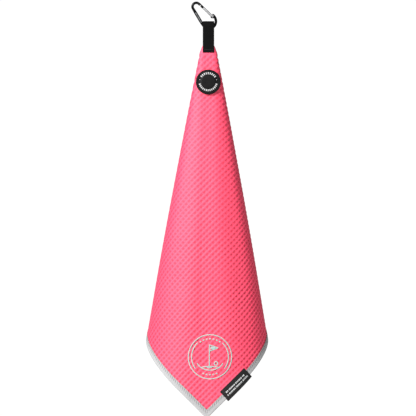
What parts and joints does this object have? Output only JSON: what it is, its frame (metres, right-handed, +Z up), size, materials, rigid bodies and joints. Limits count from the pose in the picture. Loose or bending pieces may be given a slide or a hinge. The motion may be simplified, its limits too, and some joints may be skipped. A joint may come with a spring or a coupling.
{
  "type": "golf towel",
  "caption": "Square waffle-weave sports towel hung by one corner from a webbing loop and a small snap carabiner, with bound edges, a round magnetic patch and a folded edge label.",
  "frame": {"origin": "inside of the carabiner's top bend, where it hangs from a peg or ring", "axes": "+Z up, against the hanging direction; -Y is the front, which carries the patch; +X is to the right seen from the front"},
  "size_m": [0.1909, 0.1308, 0.6274],
  "materials": {
    "anodised_black": "glossy black anodised rod",
    "brushed_steel": "satin bare metal",
    "pin_steel": "plain steel",
    "black_webbing": "woven nylon tape, matte",
    "black_thread": "sewing thread",
    "pink_waffle": "waffle-weave microfibre",
    "grey_tape": "woven binding tape",
    "black_patch": "moulded soft rubber, satin",
    "patch_felt": "matte felt",
    "magnet_plating": "nickel plated",
    "woven_label": "damask woven tape"
  },
  "bodies": {
    "carabiner": {"carabiner_body": "anodised_black", "gate_hinge_pin": "pin_steel"},
    "gate": {"carabiner_gate": "brushed_steel", "gate_latch_pin": "pin_steel", "gate_spring": "pin_steel"},
    "plunger": {"gate_plunger": "pin_steel"},
    "towel": {"webbing_loop": "black_webbing", "bar_tack_front": "black_thread", "bar_tack_back": "black_thread", "towel_cloth": "pink_waffle", "edge_binding": "grey_tape", "patch_backing": "patch_felt", "patch_magnet": "magnet_plating", "patch_cover": "black_patch", "edge_label": "woven_label"}
  },
  "joints": [
    {"name": "gate_hinge", "type": "hinge", "parent": "carabiner", "child": "gate", "pos_m": [0.02457, 0, -0.01912], "axis": [0, -1, 0], "range_deg": [0, 21], "stiffness_Nm_per_rad": 0.06, "springref_deg": -17.19},
    {"name": "plunger_slide", "type": "slide", "parent": "gate", "child": "plunger", "axis": [-0.7169, 0, 0.6972], "range_m": [0, 0.0005]},
    {"name": "towel_swing", "type": "hinge", "parent": "carabiner", "child": "towel", "pos_m": [0.0183, 0, -0.0321], "axis": [1, 0, 0], "range_deg": [-60, 60]}
  ],
  "couplings": [
    {"joint": "plunger_slide", "follows": "gate_hinge", "m_per_rad": 0.00136}
  ]
}
